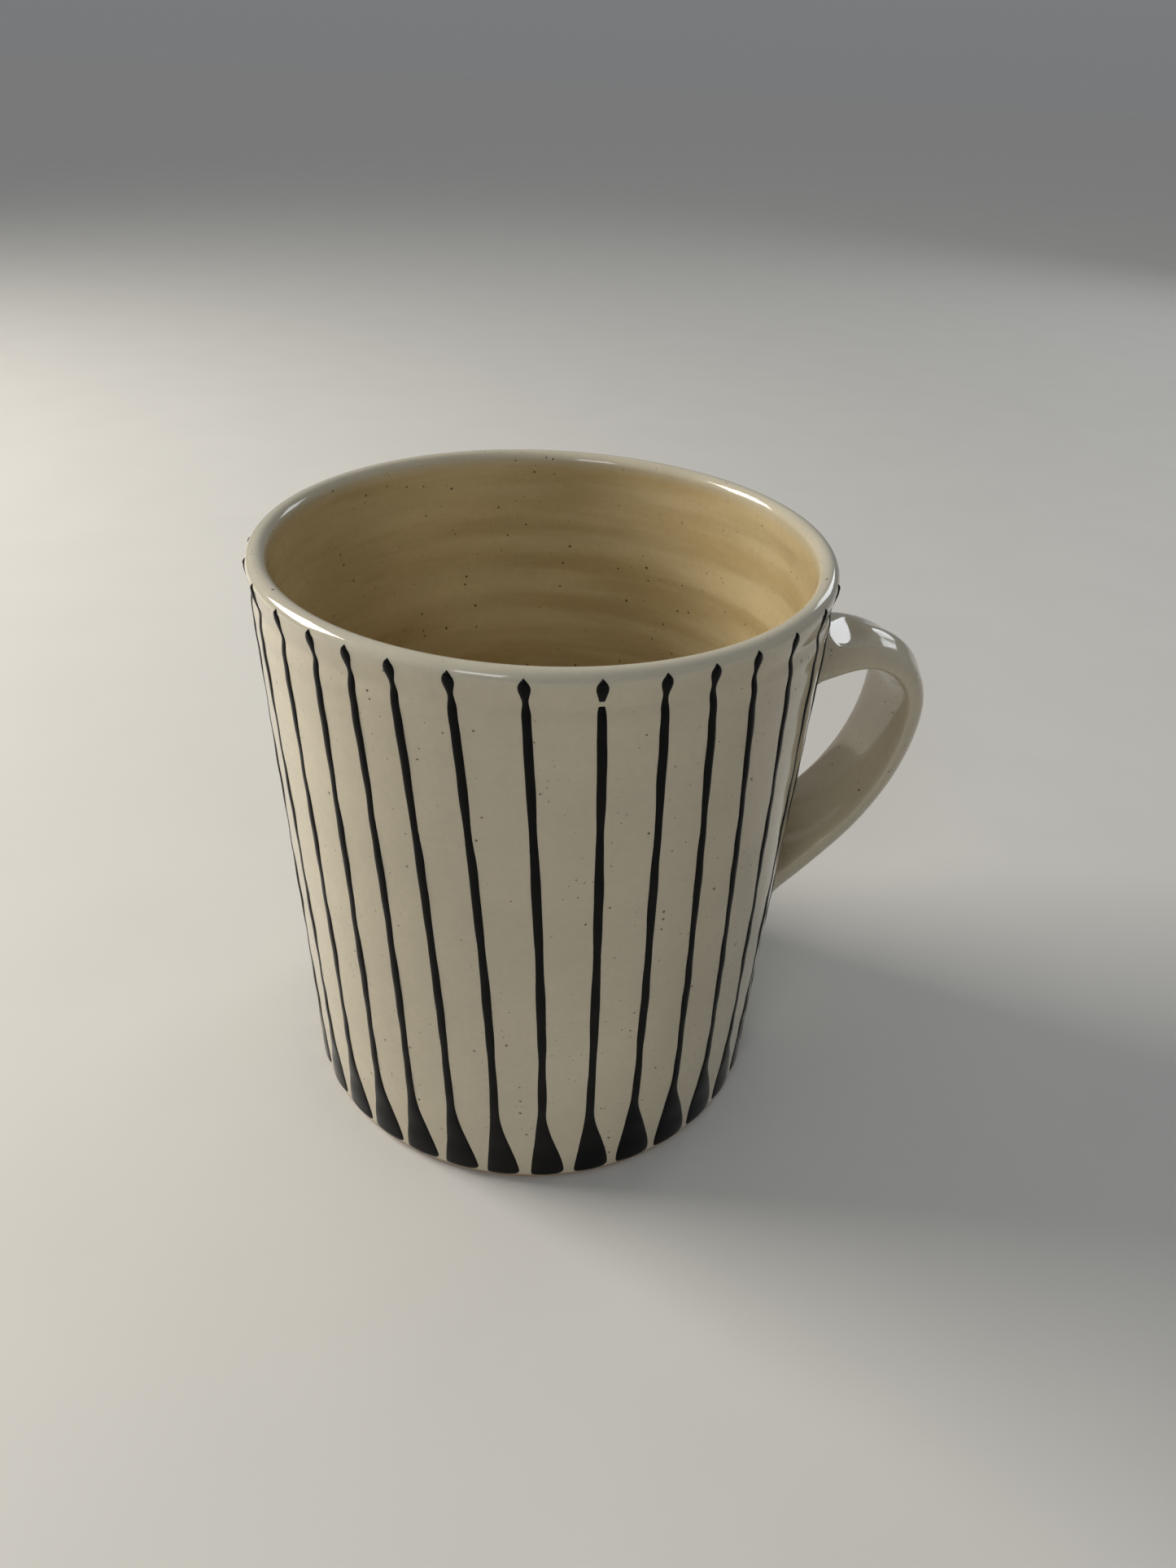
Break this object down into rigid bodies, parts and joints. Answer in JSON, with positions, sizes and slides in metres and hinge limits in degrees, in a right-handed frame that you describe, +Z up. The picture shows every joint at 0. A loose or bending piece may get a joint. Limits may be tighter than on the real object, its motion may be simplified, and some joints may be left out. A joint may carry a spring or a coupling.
{
  "type": "mug",
  "caption": "Hand-thrown ceramic mug with a rolled lip, a pulled strap handle and dark slip stripes that end in drops at the foot.",
  "frame": {"origin": "centre of the flat base, on the surface the mug stands on", "axes": "+Z up along the cup's axis, +X from the axis towards the handle, +Y to the right of the handle seen from outside it"},
  "size_m": [0.1111, 0.0886, 0.0987],
  "materials": {
    "cream_glaze": "glossy cream glaze with fine iron specks",
    "black_slip": "glossy black slip under clear glaze"
  },
  "bodies": {
    "root": {"cup_body": "cream_glaze", "handle": "cream_glaze", "handle_upper_joint": "cream_glaze", "handle_lower_joint": "cream_glaze", "slip_stripe_01": "black_slip", "slip_stripe_02": "black_slip", "slip_stripe_03": "black_slip", "slip_stripe_04": "black_slip", "slip_stripe_05": "black_slip", "slip_stripe_06": "black_slip", "slip_stripe_07": "black_slip", "slip_stripe_08": "black_slip", "slip_stripe_09": "black_slip", "slip_stripe_10": "black_slip", "slip_stripe_11": "black_slip", "slip_stripe_12": "black_slip", "slip_stripe_13": "black_slip", "slip_stripe_14": "black_slip", "slip_stripe_15": "black_slip", "slip_stripe_16": "black_slip", "slip_stripe_17": "black_slip", "slip_stripe_18": "black_slip", "slip_stripe_19": "black_slip", "slip_stripe_20": "black_slip", "slip_stripe_21": "black_slip", "slip_stripe_22": "black_slip", "slip_stripe_23": "black_slip", "slip_stripe_24": "black_slip", "slip_stripe_25": "black_slip", "slip_stripe_26": "black_slip", "slip_stripe_27": "black_slip", "slip_stripe_28": "black_slip", "slip_stripe_29": "black_slip", "slip_stripe_30": "black_slip", "slip_stripe_31": "black_slip"}
  },
  "joints": []
}
